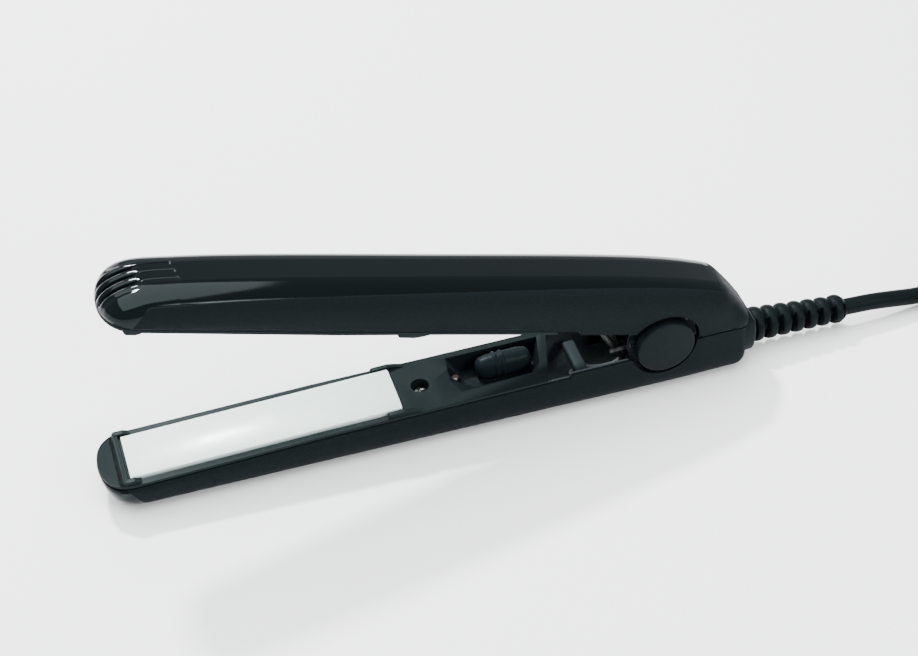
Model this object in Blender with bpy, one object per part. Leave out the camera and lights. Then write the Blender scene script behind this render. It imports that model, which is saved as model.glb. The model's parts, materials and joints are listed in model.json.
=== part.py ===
"""Mini hair straightener (flat iron) with its power cord, as separate parts.

The iron rests on the crown of its lower arm, sprung open.  Metres, +Z up, tip towards -X,
cord towards +X.  Each arm is modelled in arm coordinates: x from the front end of its plate
towards the hinge, y across, and depth d from the face of the plate into the arm.
"""
import bpy
import bmesh
from math import atan, cos, pi, radians, sin, sqrt
from mathutils import Vector

MM = 0.001

# Driving dimensions, in arm coordinates
PLATE_LENGTH = 70.0 * MM
PLATE_HALF_WIDTH = 7.4 * MM
HINGE_X = 140.35 * MM
OPEN_ANGLE = radians(19.4)
TIP_X = -7.3 * MM
REAR_X = 163.5 * MM
HEEL_X = 165.2 * MM
LOWER_HEEL_X = 167.4 * MM
REAR_FALL_X = 154.3 * MM
REAR_FALL_SLOPE = 0.64
REAR_FALL_BEND = 1.5 * MM
SHELL_HALF_WIDTH = 10.0 * MM
RIM_HALF_WIDTH = 9.4 * MM
WALL = 1.2 * MM
CROWN_AT_TIP = 11.8 * MM
CROWN_SLOPE = 0.039
SHOULDER = 9.0 * MM
SHOULDER_POWER = 2.8
CROWN_LAND = 0.15 * MM
FIT = 0.3 * MM
THINNEST_END = 0.8 * MM

# Nose: the plan and the side view are both quarter ellipses
NOSE_PLAN_X = 1.2 * MM
NOSE_PLAN_POWER = 2.35
NOSE_SIDE_X = 5.0 * MM
NOSE_SIDE_POWER = 2.2

# Lid that carries the plate
LID_THICKNESS = 0.8 * MM
LID_INSET = 0.15 * MM
LID_END_NEAR = 108.5 * MM
LID_END_FAR = 114.0 * MM
SHELL_STEP_X = 115.0 * MM

# Hinge
EAR_RADIUS = 9.4 * MM
EAR_INNER = 6.7 * MM
EAR_OUTER = 7.9 * MM
WINDOW_RADIUS = 9.7 * MM
CAP_RADIUS = 7.9 * MM
CAP_OUTER = 11.3 * MM
PIN_RADIUS = 1.9 * MM
KNUCKLE_RADIUS = 4.9 * MM

# Rims behind the hinge meet when the iron is fully open
REAR_RIM_X = 151.0 * MM
LOWER_REAR_RIM = 1.6 * MM
LOWER_REAR_SLOPE = 0.065
UPPER_REAR_RIM = 2.55 * MM
UPPER_REAR_SLOPE = 0.279

# Switch
POCKET_FLOOR = 7.5 * MM
KNOB_LENGTH = 15.0 * MM
KNOB_RADIUS = 3.9 * MM
KNOB_X = 100.3 * MM
KNOB_Y = 3.7 * MM

# Cord
CORD_RADIUS = 2.3 * MM
HANK_CENTRE = Vector((0.1945, -0.0092, 0.0))
HANK_HALF_RUN = 27.6 * MM
HANK_FOLD = 13.8 * MM
HANK_WAIST_DROP = 6.7 * MM
HANK_BOTTOM = 1.1 * MM
HANK_TOP = 19.75 * MM
TURN_PITCH = 4.65 * MM
TIE_WIDTH = 7.0 * MM
TIE_THICKNESS = 0.7 * MM

# Placement: the crown of the lower arm lies on z = 0, the hinge axis at HINGE_PLACE
ARM_TILT = atan(CROWN_SLOPE)
HINGE_HEIGHT = HINGE_X * sin(ARM_TILT) + (CROWN_AT_TIP - CROWN_LAND) * cos(ARM_TILT)
HINGE_PLACE = Vector((0.060, 0.0, HINGE_HEIGHT))

LOWER = -1
UPPER = 1


# ---------------------------------------------------------------- scene and materials

def clear_scene():
    for old in list(bpy.data.objects):
        bpy.data.objects.remove(old, do_unlink=True)


def material(name, colour, roughness, metallic=0.0):
    made = bpy.data.materials.new(name)
    made.use_nodes = True
    shader = made.node_tree.nodes["Principled BSDF"]
    shader.inputs["Base Color"].default_value = (*colour, 1.0)
    shader.inputs["Roughness"].default_value = roughness
    shader.inputs["Metallic"].default_value = metallic
    made.diffuse_color = (*colour, 1.0)
    return made


def empty(name, place, angle):
    """An empty on the hinge axis, turned about Y; a positive angle raises the tip."""
    frame = bpy.data.objects.new(name, None)
    frame.location = place
    frame.rotation_euler = (0.0, angle, 0.0)
    bpy.context.collection.objects.link(frame)
    return frame


def place(name, mesh_data, frame, look, smooth_angle=35.0):
    """Turn a bmesh into a named object under one of the frames."""
    bmesh.ops.remove_doubles(mesh_data, verts=mesh_data.verts, dist=0.002 * MM)
    bmesh.ops.recalc_face_normals(mesh_data, faces=mesh_data.faces)
    mesh = bpy.data.meshes.new(name)
    mesh_data.to_mesh(mesh)
    mesh_data.free()
    mesh.shade_smooth()
    mesh.set_sharp_from_angle(angle=radians(smooth_angle))
    mesh.materials.append(look)
    piece = bpy.data.objects.new(name, mesh)
    bpy.context.collection.objects.link(piece)
    piece.parent = frame
    return piece


def boolean(piece, operation, mesh_data, frame):
    """Add or cut a hidden helper shape with an exact Boolean."""
    number = len(piece.modifiers)
    label = f"{piece.name}_{operation.lower()}_{number}"
    helper = place(label, mesh_data, frame, piece.data.materials[0])
    helper.hide_render = True
    helper.display_type = "WIRE"
    step = piece.modifiers.new(f"{operation.lower()}_{number}", "BOOLEAN")
    step.operation = operation
    step.solver = "EXACT"
    step.object = helper


# ---------------------------------------------------------------- shapes in arm coordinates

def at(x, y, depth, side):
    """Arm coordinates to the arm's own frame, whose origin is on the hinge axis."""
    return Vector((x - HINGE_X, y, side * depth))


def skin(rings, closed_loop=True, capped=True):
    """Join equal rings of points into one surface, with flat ends."""
    made = bmesh.new()
    rows = [[made.verts.new(point) for point in ring] for ring in rings]
    count = len(rings[0])
    last = count if closed_loop else count - 1
    for first, second in zip(rows, rows[1:]):
        for i in range(last):
            j = (i + 1) % count
            made.faces.new((first[i], first[j], second[j], second[i]))
    if capped:
        made.faces.new(rows[0])
        made.faces.new(list(reversed(rows[-1])))
    return made


def box(x0, x1, y0, y1, d0, d1, side):
    low, high = sorted((side * d0, side * d1))
    made = bmesh.new()
    bmesh.ops.create_cube(made, size=1.0)
    size = Vector((x1 - x0, y1 - y0, high - low))
    centre = Vector(((x0 + x1) / 2 - HINGE_X, (y0 + y1) / 2, (low + high) / 2))
    bmesh.ops.scale(made, vec=size, verts=made.verts)
    bmesh.ops.translate(made, vec=centre, verts=made.verts)
    return made


def bevelled(mesh_data, width, segments=1):
    bmesh.ops.bevel(mesh_data, geom=list(mesh_data.edges), offset=width, segments=segments,
                    profile=0.5, affect="EDGES")
    return mesh_data


def cross_bar(x, depth, radius, y0, y1, side, sides=40):
    """A cylinder along Y."""
    rings = []
    for y in (y0, y1):
        turn = [2 * pi * k / sides for k in range(sides)]
        rings.append([at(x + radius * cos(a), y, depth + radius * sin(a), side) for a in turn])
    return skin(rings)


def post(x, y, radius, d0, d1, side, sides=24):
    """A cylinder square to the plate."""
    rings = []
    for d in (d0, d1):
        turn = [2 * pi * k / sides for k in range(sides)]
        rings.append([at(x + radius * cos(a), y + radius * sin(a), d, side) for a in turn])
    return skin(rings)


def bar_along_x(profile, x0, x1, side):
    """Extrude a (y, depth) profile along the arm."""
    return skin([[at(x, y, d, side) for y, d in profile] for x in (x0, x1)])


def plate_across_y(outline, y0, y1, side):
    """Extrude an (x, depth) outline across the arm."""
    return skin([[at(x, y, d, side) for x, d in outline] for y in (y0, y1)])


def tube(points, radius, sides=8):
    """A round bar along a list of points, with flat ends."""
    rings = []
    normal = None
    for i, point in enumerate(points):
        ahead = points[min(i + 1, len(points) - 1)]
        behind = points[max(i - 1, 0)]
        along = (ahead - behind).normalized()
        if normal is None:
            normal = along.orthogonal().normalized()
        normal = (normal - along * normal.dot(along)).normalized()
        across = along.cross(normal)
        turn = [2 * pi * k / sides for k in range(sides)]
        rings.append([point + radius * (normal * cos(a) + across * sin(a)) for a in turn])
    return skin(rings)


# ---------------------------------------------------------------- arm shape

def straight_mix(x, x0, x1, v0, v1):
    share = min(max((x - x0) / (x1 - x0), 0.0), 1.0)
    return v0 + (v1 - v0) * share


def lid_depth(x):
    """Depth of the lid's face: level along the plate, then falling away to the hinge."""
    return straight_mix(x, 50 * MM, 140 * MM, 1.3 * MM, 3.1 * MM)


def rim_depth(x, side):
    """Depth of the shell's rim, under the lid in front and at the rear cut behind."""
    if x < SHELL_STEP_X:
        return lid_depth(x) + LID_THICKNESS + FIT
    if x < HINGE_X:
        return lid_depth(x)
    start = LOWER_REAR_RIM if side == LOWER else UPPER_REAR_RIM
    slope = LOWER_REAR_SLOPE if side == LOWER else UPPER_REAR_SLOPE
    if x < REAR_RIM_X:
        return straight_mix(x, HINGE_X, REAR_RIM_X, lid_depth(HINGE_X), start)
    return start + (x - REAR_RIM_X) * slope


def quarter(x, start, reach, power=2.0):
    """1 inside the arm, falling to 0 over 'reach' before 'start'."""
    if x >= start:
        return 1.0
    share = min((start - x) / reach, 1.0)
    return (1.0 - share ** power) ** (1.0 / power)


def heel_fall(x, side):
    """How far the crown has fallen at the rear: a long chamfer above, a small round below."""
    if side == UPPER:
        past = x - REAR_FALL_X
        return REAR_FALL_SLOPE * (past + sqrt(past ** 2 + REAR_FALL_BEND ** 2)) / 2
    radius = 3.5 * MM
    start = REAR_X + 1.0 * MM - radius
    if x <= start:
        return 0.0
    return radius - sqrt(max(radius ** 2 - (x - start) ** 2, 0.0))


def side_swell(x):
    """How much wider the arm is than SHELL_HALF_WIDTH: fuller in front, drawn in at the rear."""
    return (straight_mix(x, 0.0, 80 * MM, 0.55 * MM, 0.1 * MM)
            - straight_mix(x, 142.8 * MM, 160 * MM, 0.0, 0.65 * MM))


def crown_at(x, side):
    """Depth of the crown along the middle of an arm; the upper one is arched lengthwise."""
    arch = 0.0
    if side == UPPER:
        arch = 0.85 * MM * (1 - abs((x - 75 * MM) / (65 * MM)) ** 5)
    return CROWN_AT_TIP + CROWN_SLOPE * x + arch


def half_section(x, inset, side, rim):
    """Points (y, depth) from the near rim over the crown to the far rim."""
    plan = quarter(x, NOSE_PLAN_X, NOSE_PLAN_X - TIP_X - inset, NOSE_PLAN_POWER)
    corner = 5.0 * MM if side == UPPER else 3.0 * MM
    corner_start = REAR_X + 1.5 * MM - corner
    narrowing = 0.0
    if x > corner_start:
        narrowing = corner - sqrt(max(corner ** 2 - (x - corner_start) ** 2, 0.0))
    half = (SHELL_HALF_WIDTH + side_swell(x) - inset) * plan - narrowing
    flare = (SHELL_HALF_WIDTH - RIM_HALF_WIDTH) * plan
    crown = crown_at(x, side) - inset - heel_fall(x, side)
    reach = NOSE_SIDE_X - TIP_X - inset
    crown = rim + (crown - rim) * quarter(x, NOSE_SIDE_X, reach, NOSE_SIDE_POWER)
    crown = max(crown, rim + THINNEST_END) if x > HINGE_X else crown
    rise = min(SHOULDER, (crown - rim) * 0.92)
    points = [(-(half - flare), rim)]
    steps = 9
    for k in range(2 * steps + 1):
        angle = pi * k / (2 * steps)
        y = -half * abs(cos(angle)) ** (2 / SHOULDER_POWER) * (1 if angle <= pi / 2 else -1)
        depth = crown - rise + rise * sin(angle) ** (2 / SHOULDER_POWER)
        points.append((y, min(depth, max(crown - CROWN_LAND, rim))))
    points.append((half - flare, rim))
    return points


def stations(first, last):
    """Positions along the arm, close together round the nose and at the rear."""
    nose = [first + (NOSE_SIDE_X - first) * (1 - cos(pi / 2 * k / 9)) for k in range(10)]
    middle = [10 * MM, 20 * MM, 35 * MM, 55 * MM, 80 * MM, 100 * MM, SHELL_STEP_X - 0.5 * MM,
              SHELL_STEP_X, 125 * MM, 133 * MM, HINGE_X, 146 * MM, REAR_RIM_X]
    rear = [last - 9 * MM, last - 6 * MM, last - 3.5 * MM, last - 1.8 * MM, last - 0.7 * MM, last]
    return nose + middle + rear


def shell_mesh(side):
    rings = []
    for x, x_in in zip(stations(TIP_X, REAR_X), stations(TIP_X + WALL, REAR_X)):
        rim = rim_depth(x, side)
        outer = [at(x, y, d, side) for y, d in half_section(x, 0.0, side, rim)]
        inner = [at(x_in, y, d, side) for y, d in half_section(x_in, WALL, side, rim)]
        rings.append(outer + list(reversed(inner)))
    return skin(rings)


def shell(name, side, frame, look):
    piece = place(name, shell_mesh(side), frame, look)
    for x, y in ((SCREW_X, 0.0), (CLAMP_SCREW_X, CLAMP_SCREW_Y)):
        floor = crown_at(x, side) - WALL / 2
        boolean(piece, "UNION", post(x, y, 2.3 * MM, BOSS_TOP, floor, side), frame)
        boolean(piece, "DIFFERENCE", post(x, y, 1.4 * MM, BOSS_TOP - MM, floor - MM, side), frame)
    for sign in (-1, 1):
        if side == LOWER:
            hinge_ear(piece, sign, frame)
        else:
            y0, y1 = sorted((sign * EAR_OUTER, sign * 11 * MM))
            window = cross_bar(HINGE_X, 0, WINDOW_RADIUS, y0, y1, side, 48)
            boolean(piece, "DIFFERENCE", window, frame)
    if side == LOWER:
        bore = cross_bar(HINGE_X, 0, PIN_RADIUS + FIT, -11 * MM, 11 * MM, side, 24)
        boolean(piece, "DIFFERENCE", bore, frame)
    return piece


def hinge_ear(piece, sign, frame):
    """Round ear inside the wall, and the round recess in the wall that the cap sits in."""
    y0, y1 = sorted((sign * EAR_INNER, sign * EAR_OUTER))
    ear = cross_bar(HINGE_X, 0, EAR_RADIUS, y0, y1, LOWER, 48)
    boolean(piece, "UNION", ear, frame)
    y0, y1 = sorted((sign * (EAR_OUTER - 0.4 * MM), sign * (SHELL_HALF_WIDTH - 0.8 * MM)))
    pad = box(HINGE_X - 10.4 * MM, HINGE_X + 10.4 * MM, y0, y1, 3.6 * MM, 11.5 * MM, LOWER)
    boolean(piece, "UNION", pad, frame)
    y0, y1 = sorted((sign * EAR_OUTER, sign * 12 * MM))
    recess = cross_bar(HINGE_X, 0, EAR_RADIUS, y0, y1, LOWER, 48)
    boolean(piece, "DIFFERENCE", recess, frame)


# ---------------------------------------------------------------- lid, plate and heater

SCREW_X = 76.7 * MM
CLAMP_SCREW_X = 125.4 * MM
CLAMP_SCREW_Y = 3.5 * MM
BOSS_TOP = 7.2 * MM
WINDOW_MARGIN = 0.5 * MM


def lid_mesh(side):
    rings = []
    tip = TIP_X + LID_INSET
    xs = [tip + (NOSE_PLAN_X - tip) * (1 - cos(pi / 2 * k / 9)) for k in range(10)]
    xs += [20 * MM, 50 * MM, 80 * MM, 100 * MM]
    for x in xs:
        half = RIM_HALF_WIDTH + side_swell(x) - LID_INSET
        half *= quarter(x, NOSE_PLAN_X, NOSE_PLAN_X - tip, NOSE_PLAN_POWER)
        rings.append(lid_ring(x, x, half, side))
    half = RIM_HALF_WIDTH + side_swell(LID_END_NEAR) - LID_INSET
    rings.append(lid_ring(LID_END_NEAR, LID_END_FAR, half, side))
    return skin(rings)


def lid_ring(x_near, x_far, half, side):
    top_near, top_far = lid_depth(x_near), lid_depth(x_far)
    return [at(x_near, -half, top_near, side), at(x_far, half, top_far, side),
            at(x_far, half, top_far + LID_THICKNESS, side),
            at(x_near, -half, top_near + LID_THICKNESS, side)]


def end_ridge(side):
    """The low double wall between the tip face and the plate."""
    half = RIM_HALF_WIDTH - 0.6 * MM
    top, base = 0.35 * MM, lid_depth(0) + 0.4 * MM
    outline = [(-2.1 * MM, base), (-2.1 * MM, top + 0.3 * MM), (-1.9 * MM, top),
               (-1.5 * MM, top), (-1.4 * MM, top + 0.25 * MM), (-1.2 * MM, top + 0.25 * MM),
               (-1.1 * MM, top), (-0.8 * MM, top), (-0.8 * MM, base)]
    return plate_across_y(outline, -half, half, side)


def front_lip(side, sign):
    """Raised lip on the lid's edge at a front corner of the plate."""
    top = lid_depth(0) - 1.1 * MM
    base = lid_depth(0) + 0.4 * MM
    outline = [(-2.0 * MM, base), (-2.0 * MM, top + 0.5 * MM), (-1.5 * MM, top),
               (0.9 * MM, top), (2.0 * MM, top + 0.5 * MM), (2.6 * MM, base - 0.4 * MM),
               (2.6 * MM, base)]
    ys = sorted((sign * (RIM_HALF_WIDTH - 0.1 * MM), sign * (PLATE_HALF_WIDTH + 0.6 * MM)))
    return plate_across_y(outline, ys[0], ys[1], side)


def side_lip(side, sign):
    """Raised lip on the lid's edge beside and behind the end of the plate."""
    top = lid_depth(70 * MM) - 1.2 * MM
    outline = [(65.8 * MM, lid_depth(66 * MM) + 0.4 * MM), (65.8 * MM, top + 0.5 * MM),
               (66.3 * MM, top), (70.5 * MM, top), (72.5 * MM, top + 0.5 * MM),
               (75.0 * MM, lid_depth(75 * MM) + 0.1 * MM), (75.0 * MM, lid_depth(75 * MM) + 0.4 * MM)]
    ys = sorted((sign * (RIM_HALF_WIDTH - 0.25 * MM), sign * (PLATE_HALF_WIDTH + 0.6 * MM)))
    return plate_across_y(outline, ys[0], ys[1], side)


def tapered_well(top_outline, floor_outline, top, floor, side):
    return skin([[at(x * MM, y * MM, top, side) for x, y in top_outline],
                 [at(x * MM, y * MM, floor, side) for x, y in floor_outline]])


POCKET_TOP = [(85.2, 7.4), (84.0, -1.6), (85.6, -6.7), (106.6, -6.7), (108.6, -3.0), (111.2, 7.4)]
POCKET_BASE = [(89.6, 7.4), (89.2, 2.0), (91.0, 0.0), (106.8, 0.0), (107.8, 1.0), (109.6, 7.4)]


def grown(outline, by):
    """Move a hand-drawn outline away from its middle."""
    middle_x = sum(x for x, y in outline) / len(outline)
    middle_y = sum(y for x, y in outline) / len(outline)
    moved = []
    for x, y in outline:
        step_x = by if x > middle_x else -by
        step_y = by if y > middle_y else -by
        moved.append((x + step_x, y + step_y * 0.6))
    return moved


def lid(name, side, frame, look):
    piece = place(name, lid_mesh(side), frame, look)
    reach = PLATE_HALF_WIDTH + WINDOW_MARGIN
    boolean(piece, "UNION", end_ridge(side), frame)
    for sign in (-1, 1):
        boolean(piece, "UNION", side_lip(side, sign), frame)
        boolean(piece, "UNION", front_lip(side, sign), frame)
    window = box(-WINDOW_MARGIN, PLATE_LENGTH + WINDOW_MARGIN, -reach, reach,
                 -2 * MM, 6 * MM, side)
    boolean(piece, "DIFFERENCE", window, frame)
    cup_top = lid_depth(SCREW_X) + 0.2 * MM
    boolean(piece, "UNION", post(SCREW_X, 0, 3.4 * MM, cup_top, 6.8 * MM, side), frame)
    boolean(piece, "DIFFERENCE", post(SCREW_X, 0, 2.4 * MM, 0, 5.6 * MM, side), frame)
    boolean(piece, "DIFFERENCE", post(SCREW_X, 0, 1.4 * MM, 0, 9 * MM, side), frame)
    if side == LOWER:
        well_top = lid_depth(97 * MM) + 0.3 * MM
        outer = tapered_well(grown(POCKET_TOP, 0.8), grown(POCKET_BASE, 0.8), well_top,
                             POCKET_FLOOR + MM, side)
        boolean(piece, "UNION", outer, frame)
        inner = tapered_well(POCKET_TOP, POCKET_BASE, well_top - 1.2 * MM, POCKET_FLOOR, side)
        boolean(piece, "DIFFERENCE", inner, frame)
        slot = box(93.5 * MM, 106.5 * MM, 2.4 * MM, 5.8 * MM, POCKET_FLOOR - MM,
                   POCKET_FLOOR + 2 * MM, side)
        boolean(piece, "DIFFERENCE", slot, frame)
        hole = post(86.6 * MM, 2.6 * MM, 1.7 * MM, 1 * MM, 11 * MM, side, 20)
        boolean(piece, "DIFFERENCE", hole, frame)
    return piece


def ceramic_plate(name, side, frame, look):
    half, flat = PLATE_HALF_WIDTH, PLATE_HALF_WIDTH - 1.5 * MM
    profile = [(-flat, 0), (flat, 0), (half, 0.65 * MM), (half, 2.2 * MM),
               (5.8 * MM, 2.2 * MM), (5.8 * MM, 5.6 * MM), (4.6 * MM, 5.6 * MM),
               (4.6 * MM, 2.2 * MM), (-4.6 * MM, 2.2 * MM), (-4.6 * MM, 5.6 * MM),
               (-5.8 * MM, 5.6 * MM), (-5.8 * MM, 2.2 * MM), (-half, 2.2 * MM),
               (-half, 0.65 * MM)]
    return place(name, bar_along_x(profile, 0, PLATE_LENGTH, side), frame, look)


def heater(name, side, frame, look):
    block = box(8 * MM, 62 * MM, -4.2 * MM, 4.2 * MM, 2.5 * MM, 4.5 * MM, side)
    return place(name, bevelled(block, 0.3 * MM), frame, look)


def heater_clip(name, side, frame, look):
    """Sprung strip that presses the heater against the plate."""
    profile = [(-4.2 * MM, 4.8 * MM), (4.2 * MM, 4.8 * MM), (4.2 * MM, 5.3 * MM),
               (1.5 * MM, 6.1 * MM), (-1.5 * MM, 6.1 * MM), (-4.2 * MM, 5.3 * MM)]
    return place(name, bar_along_x(profile, 12 * MM, 58 * MM, side), frame, look)


def plate_carrier(name, side, frame, look):
    """Heat-proof channel under the plate, held between plate and shell."""
    wall, floor = 7.3 * MM, 8.0 * MM
    profile = [(-wall, 2.6 * MM), (-6.2 * MM, 2.6 * MM), (-6.2 * MM, 6.9 * MM),
               (6.2 * MM, 6.9 * MM), (6.2 * MM, 2.6 * MM), (wall, 2.6 * MM), (wall, 6.6 * MM),
               (wall - 1.4 * MM, floor), (-wall + 1.4 * MM, floor), (-wall, 6.6 * MM)]
    return place(name, bar_along_x(profile, 3 * MM, 68 * MM, side), frame, look)


def turned_screw(name, x, y, head_depth, head_radius, length, side, frame, look):
    """Pan head with a cross recess on a plain shank."""
    bottom = head_depth + length
    profile = [(0.0, head_depth), (head_radius * 0.75, head_depth + 0.05 * MM),
               (head_radius, head_depth + 0.6 * MM), (head_radius, head_depth + 1.2 * MM),
               (1.05 * MM, head_depth + 1.3 * MM), (1.05 * MM, bottom - MM), (0.0, bottom)]
    sides = 20
    made = bmesh.new()
    rows = []
    for radius, depth in profile:
        count = 1 if radius == 0.0 else sides
        turn = [2 * pi * k / sides for k in range(count)]
        rows.append([made.verts.new(at(x + radius * cos(a), y + radius * sin(a), depth, side))
                     for a in turn])
    for first, second in zip(rows, rows[1:]):
        for k in range(sides):
            n = (k + 1) % sides
            if len(first) == 1:
                made.faces.new((first[0], second[k], second[n]))
            elif len(second) == 1:
                made.faces.new((first[k], second[0], first[n]))
            else:
                made.faces.new((first[k], second[k], second[n], first[n]))
    piece = place(name, made, frame, look)
    for across, along in ((1.6, 0.35), (0.35, 1.6)):
        slot = box(x - across * MM, x + across * MM, y - along * MM, y + along * MM,
                   head_depth - 0.5 * MM, head_depth + 0.7 * MM, side)
        boolean(piece, "DIFFERENCE", slot, frame)
    return piece


# ---------------------------------------------------------------- hinge

def hinge_pin(frame, look):
    reach = EAR_OUTER
    return place("hinge_pin", cross_bar(HINGE_X, 0, PIN_RADIUS, -reach, reach, LOWER, 28),
                 frame, look)


def hinge_cap(name, sign, frame, look):
    """Round cap over the end of the pin, slightly domed."""
    base, rim, top = EAR_OUTER + FIT, CAP_OUTER - 0.35 * MM, CAP_OUTER
    stages = [(CAP_RADIUS, base), (CAP_RADIUS, rim), (CAP_RADIUS - 0.12 * MM, rim + 0.2 * MM),
              (CAP_RADIUS - 0.5 * MM, top)]
    rings = []
    for radius, y in stages:
        turn = [2 * pi * k / 48 for k in range(48)]
        rings.append([at(HINGE_X + radius * cos(a), sign * y, radius * sin(a), LOWER)
                      for a in turn])
    return place(name, skin(rings), frame, look)


def hinge_block(frame, look):
    """The upper arm's two knuckles, joined by a web inside the arm."""
    inner, outer = 4.7 * MM, 6.4 * MM

    def knuckle(y0, y1):
        lower = [(HINGE_X + KNUCKLE_RADIUS * cos(a), KNUCKLE_RADIUS * sin(a))
                 for a in (pi + pi * k / 14 for k in range(15))]
        outline = lower + [(HINGE_X + KNUCKLE_RADIUS, 9.6 * MM), (HINGE_X - KNUCKLE_RADIUS, 9.6 * MM)]
        return plate_across_y(outline, y0, y1, UPPER)
    piece = place("upper_hinge_block", knuckle(-outer, -inner), frame, look)
    boolean(piece, "UNION", knuckle(inner, outer), frame)
    web = box(HINGE_X - KNUCKLE_RADIUS + 0.1 * MM, HINGE_X + KNUCKLE_RADIUS - 0.1 * MM,
              -5.5 * MM, 5.5 * MM, 7.8 * MM, 9.5 * MM, UPPER)
    boolean(piece, "UNION", web, frame)
    bore = cross_bar(HINGE_X, 0, PIN_RADIUS + FIT, -9 * MM, 9 * MM, UPPER, 28)
    boolean(piece, "DIFFERENCE", bore, frame)
    return piece


def torsion_spring(frame, look):
    """Coil round the pin with one leg forward in each arm."""
    radius, wire, turns = 3.5 * MM, 0.6 * MM, 5
    width = 7.2 * MM
    points = []
    leg = 13.0 * MM
    low_angle = radians(-90)
    high_angle = radians(90) + 2 * pi * turns
    steps = 14 * turns
    start = Vector((radius * cos(low_angle), 0.0, radius * sin(low_angle)))
    points.append(Vector((start.x - leg, -width / 2, start.z)))
    points.append(Vector((start.x - leg / 2, -width / 2, start.z)))
    for k in range(steps + 1):
        share = k / steps
        angle = low_angle + (high_angle - low_angle) * share
        y = -width / 2 + width * share
        points.append(Vector((radius * cos(angle), y, radius * sin(angle))))
    slope = OPEN_ANGLE * 0.5
    top = points[-1]
    points.append(Vector((top.x - leg / 2, top.y, top.z + leg / 2 * sin(slope))))
    points.append(Vector((top.x - leg, top.y, top.z + leg * sin(slope))))
    return place("torsion_spring", tube(points, wire, 8), frame, look)


# ---------------------------------------------------------------- switch and inner parts

def switch_knob(frame, look):
    """Barrel-shaped slide knob with two grip ridges and a flat base."""
    end = 3.4 * MM
    half = KNOB_LENGTH / 2
    cut = POCKET_FLOOR - 0.3 * MM
    centre = 5.1 * MM
    stages = [(-half, 0.30), (-half + 0.3 * MM, 0.62), (-half + 1.2 * MM, 0.88),
              (-half + end, 1.0), (-2.9 * MM, 1.0), (-2.6 * MM, 1.1), (-2.1 * MM, 1.1),
              (-1.8 * MM, 1.0), (-1.0 * MM, 1.0), (-0.7 * MM, 1.1), (-0.2 * MM, 1.1),
              (0.1 * MM, 1.0), (half - end, 1.0), (half - 1.2 * MM, 0.88),
              (half - 0.3 * MM, 0.62), (half, 0.30)]
    rings = []
    for offset, share in stages:
        radius = KNOB_RADIUS * share * 0.9
        ring = []
        for k in range(24):
            angle = 2 * pi * k / 24
            depth = centre - radius * cos(angle)
            ring.append(at(KNOB_X + offset, KNOB_Y - radius * sin(angle) * 0.88,
                           min(depth, cut), LOWER))
        rings.append(ring)
    piece = place("switch_knob", skin(rings), frame, look)
    stem = box(KNOB_X - 3 * MM, KNOB_X + 5 * MM, 2.8 * MM, 5.4 * MM, 6.8 * MM, 9.4 * MM, LOWER)
    boolean(piece, "UNION", stem, frame)
    return piece


def inner_parts(frame, looks):
    body = box(92.0 * MM, 109.0 * MM, -3.5 * MM, 6.0 * MM, 9.8 * MM, 12.3 * MM, LOWER)
    place("slide_switch_body", bevelled(body, 0.3 * MM), frame, looks["black_part"])
    board = box(80.6 * MM, 91.2 * MM, -6.2 * MM, 6.2 * MM, 9.9 * MM, 11.1 * MM, LOWER)
    place("circuit_board", board, frame, looks["board"])
    fuse = cross_bar(84.6 * MM, 8.4 * MM, 1.2 * MM, -5.8 * MM, -0.5 * MM, LOWER, 16)
    place("thermal_fuse", fuse, frame, looks["steel"])
    lens_centre_x, lens_centre_y = 86.6 * MM, 2.6 * MM
    lens = post(lens_centre_x, lens_centre_y, 1.35 * MM, 4.6 * MM, 9.4 * MM, LOWER, 20)
    place("indicator_lens", lens, frame, looks["lens"])
    clamp = box(117.5 * MM, 120.8 * MM, -6.4 * MM, 6.4 * MM, 5.6 * MM, 8.0 * MM, LOWER)
    place("cord_clamp", bevelled(clamp, 0.4 * MM), frame, looks["black_part"])


def lead(name, points, side, frame, look):
    """An insulated lead inside an arm, along points given in arm coordinates in mm."""
    path = smooth_path([at(x * MM, y * MM, d * MM, side) for x, y, d in points], 18)
    return place(name, tube(path, 0.75 * MM, 8), frame, look)


# ---------------------------------------------------------------- heels and cord

def heel(name, side, frame, look):
    """Inner block that closes the rear of an arm and stands a little proud of it."""
    inset = WALL + FIT
    rings = []
    end = HEEL_X if side == UPPER else LOWER_HEEL_X
    for x in (151.2 * MM, 155 * MM, 158 * MM, 160.5 * MM, 162 * MM, 163 * MM, 163.6 * MM,
              164.6 * MM, end - 0.5 * MM, end):
        section_x = min(x, REAR_X)
        rim = rim_depth(section_x, side) + 0.3 * MM
        shrink = max(x - end + 0.6 * MM, 0.0) * 0.8
        points = half_section(section_x, inset + shrink, side, rim + shrink)
        rings.append([at(x, y, d, side) for y, d in points])
    piece = place(name, skin(rings), frame, look)
    if side == LOWER:
        hole = axis_cylinder(-20 * MM, 6 * MM, 3.3 * MM)
        boolean(piece, "DIFFERENCE", hole, None)
        collar = axis_cylinder(-2.0 * MM, 1.5 * MM, 4.6 * MM)
        boolean(piece, "DIFFERENCE", collar, None)
    return piece


# The strain relief and cord are laid out in the rest frame.  Positions along the relief's
# axis are measured from its root, where the axis leaves the heel.
RELIEF_ROOT = Vector((0.0868, 0.0, 0.00765))
RELIEF_FALL = radians(3.2)
BEAD_PITCH = 3.95 * MM
BEAD_COUNT = 7
FIRST_BEAD = 3.6 * MM
RELIEF_LENGTH = FIRST_BEAD + (BEAD_COUNT - 1) * BEAD_PITCH + 2.4 * MM


def along_relief(distance):
    return RELIEF_ROOT + Vector((cos(RELIEF_FALL), 0.0, -sin(RELIEF_FALL))) * distance


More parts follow.
